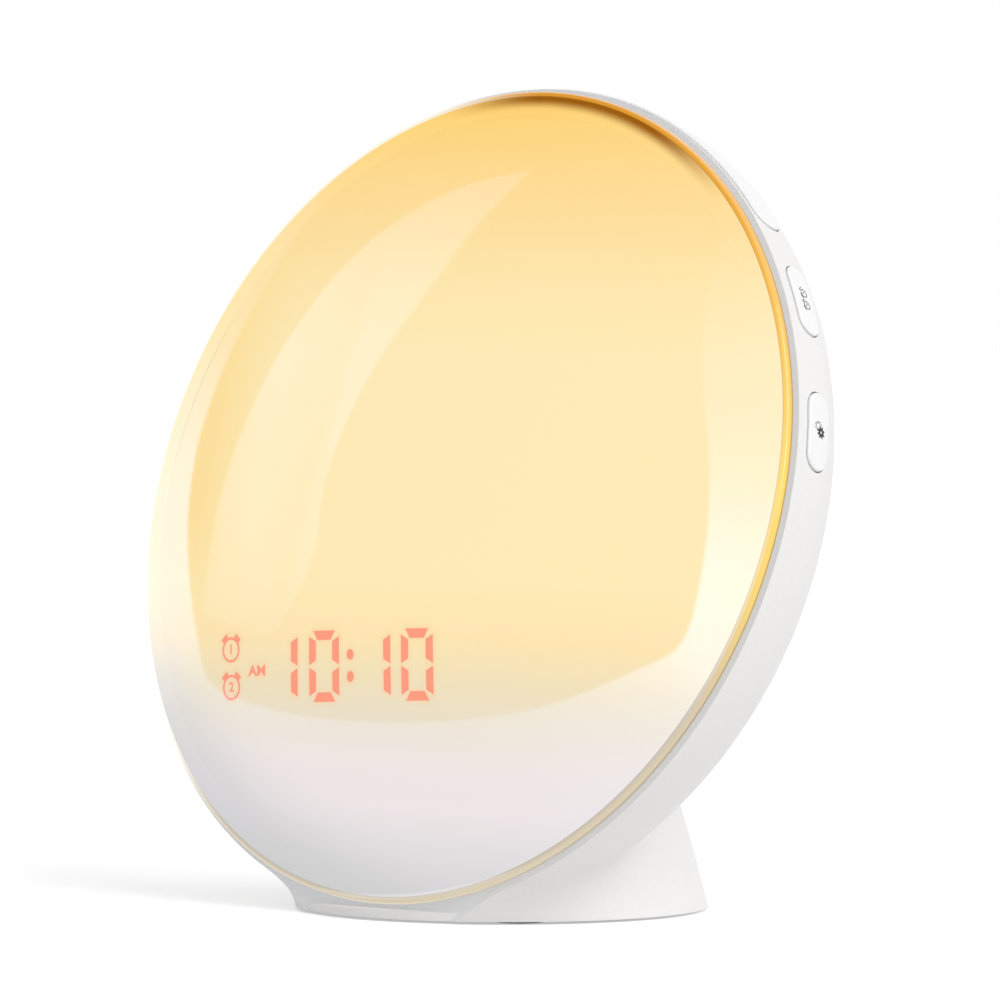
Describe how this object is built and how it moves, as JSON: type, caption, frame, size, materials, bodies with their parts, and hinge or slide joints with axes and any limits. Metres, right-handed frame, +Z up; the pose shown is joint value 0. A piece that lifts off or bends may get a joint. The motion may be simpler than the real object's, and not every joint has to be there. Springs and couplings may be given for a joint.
{
  "type": "sunrise alarm clock",
  "caption": "Sunrise alarm clock: round domed glowing face with a digital display, leaning back on an oval foot, with rim buttons and a top snooze bar.",
  "frame": {"origin": "centre of the oval foot on the surface the clock stands on, z = 0 under the rubber feet", "axes": "+X to the right as seen facing the clock, -Y towards the front, +Z up"},
  "size_m": [0.1826, 0.0873, 0.1772],
  "materials": {
    "clear_acrylic": "polished clear acrylic",
    "milky_diffuser": "translucent milky polycarbonate lit warm from behind",
    "white_abs": "fine satin moulded ABS",
    "white_abs_cap": "smooth moulded ABS caps",
    "white_board": "white solder mask",
    "led_resin": "phosphor resin in a white package",
    "zinc_steel": "zinc plated steel",
    "black_plastic": "black nylon",
    "red_segment": "red tinted epoxy",
    "green_board": "green solder mask",
    "grey_rubber": "grey silicone rubber",
    "cell_steel": "stainless steel can",
    "nickel_spring": "nickel plated spring steel",
    "brass_pin": "turned brass",
    "black_foam": "soft black foam rubber",
    "ferrite": "sintered ferrite",
    "paper_cone": "pressed black paper",
    "wire_pvc": "soft PVC insulation",
    "nylon": "natural nylon"
  },
  "bodies": {
    "clock": {"front_lens": "clear_acrylic", "light_diffuser": "milky_diffuser", "front_frame": "white_abs", "light_reflector": "white_abs", "led_board": "white_board", "light_leds": "led_resin", "led_board_screws": "zinc_steel", "display_block": "black_plastic", "display_segments": "red_segment", "display_board": "green_board", "tact_switches": "black_plastic", "button_boards": "green_board", "rear_housing": "white_abs", "frame_screws": "zinc_steel", "base_plate": "white_abs", "rubber_feet": "grey_rubber", "base_screws": "zinc_steel", "coin_cell": "cell_steel", "cell_holder": "black_plastic", "cell_contact": "nickel_spring", "power_board": "green_board", "power_board_screws": "zinc_steel", "power_jack": "black_plastic", "jack_pin": "brass_pin", "speaker_grille": "white_abs", "speaker_gasket": "black_foam", "speaker_basket": "zinc_steel", "speaker_magnet": "ferrite", "main_board": "green_board", "board_parts": "black_plastic", "board_spacers": "nylon", "main_board_screws": "zinc_steel", "power_leads": "wire_pvc", "speaker_leads": "wire_pvc"},
    "snooze": {"snooze_bar": "white_abs_cap", "snooze_plungers": "black_plastic"},
    "alarm_key": {"alarm_button": "white_abs_cap", "alarm_plunger": "black_plastic"},
    "settings_key": {"settings_button": "white_abs_cap", "settings_plunger": "black_plastic"},
    "light_key": {"light_button": "white_abs_cap", "light_plunger": "black_plastic"},
    "radio_key": {"radio_button": "white_abs_cap", "radio_plunger": "black_plastic"},
    "door": {"battery_door": "white_abs"},
    "cone": {"speaker_cone": "paper_cone", "speaker_dust_cap": "paper_cone", "speaker_surround": "black_foam"}
  },
  "joints": [
    {"name": "snooze_press", "type": "slide", "parent": "clock", "child": "snooze", "axis": [0, -0.2788, -0.9603], "range_m": [0, 0.0005], "stiffness_N_per_m": 500, "springref_m": -0.002},
    {"name": "alarm_press", "type": "slide", "parent": "clock", "child": "alarm_key", "axis": [-0.8682, -0.1384, -0.4765], "range_m": [0, 0.00035], "stiffness_N_per_m": 400, "springref_m": -0.002},
    {"name": "settings_press", "type": "slide", "parent": "clock", "child": "settings_key", "axis": [-0.9828, -0.0515, -0.1775], "range_m": [0, 0.00035], "stiffness_N_per_m": 400, "springref_m": -0.002},
    {"name": "light_press", "type": "slide", "parent": "clock", "child": "light_key", "axis": [0.8682, -0.1384, -0.4765], "range_m": [0, 0.00035], "stiffness_N_per_m": 400, "springref_m": -0.002},
    {"name": "radio_press", "type": "slide", "parent": "clock", "child": "radio_key", "axis": [0.9828, -0.0515, -0.1775], "range_m": [0, 0.00035], "stiffness_N_per_m": 400, "springref_m": -0.002},
    {"name": "door_turn", "type": "hinge", "parent": "clock", "child": "door", "pos_m": [0, -0.003, 0.0017], "axis": [0, 0, 1], "range_deg": [0, 45]},
    {"name": "cone_stroke", "type": "slide", "parent": "clock", "child": "cone", "axis": [0, -0.9603, 0.2788], "range_m": [-0.0004, 0.0004], "stiffness_N_per_m": 900}
  ]
}
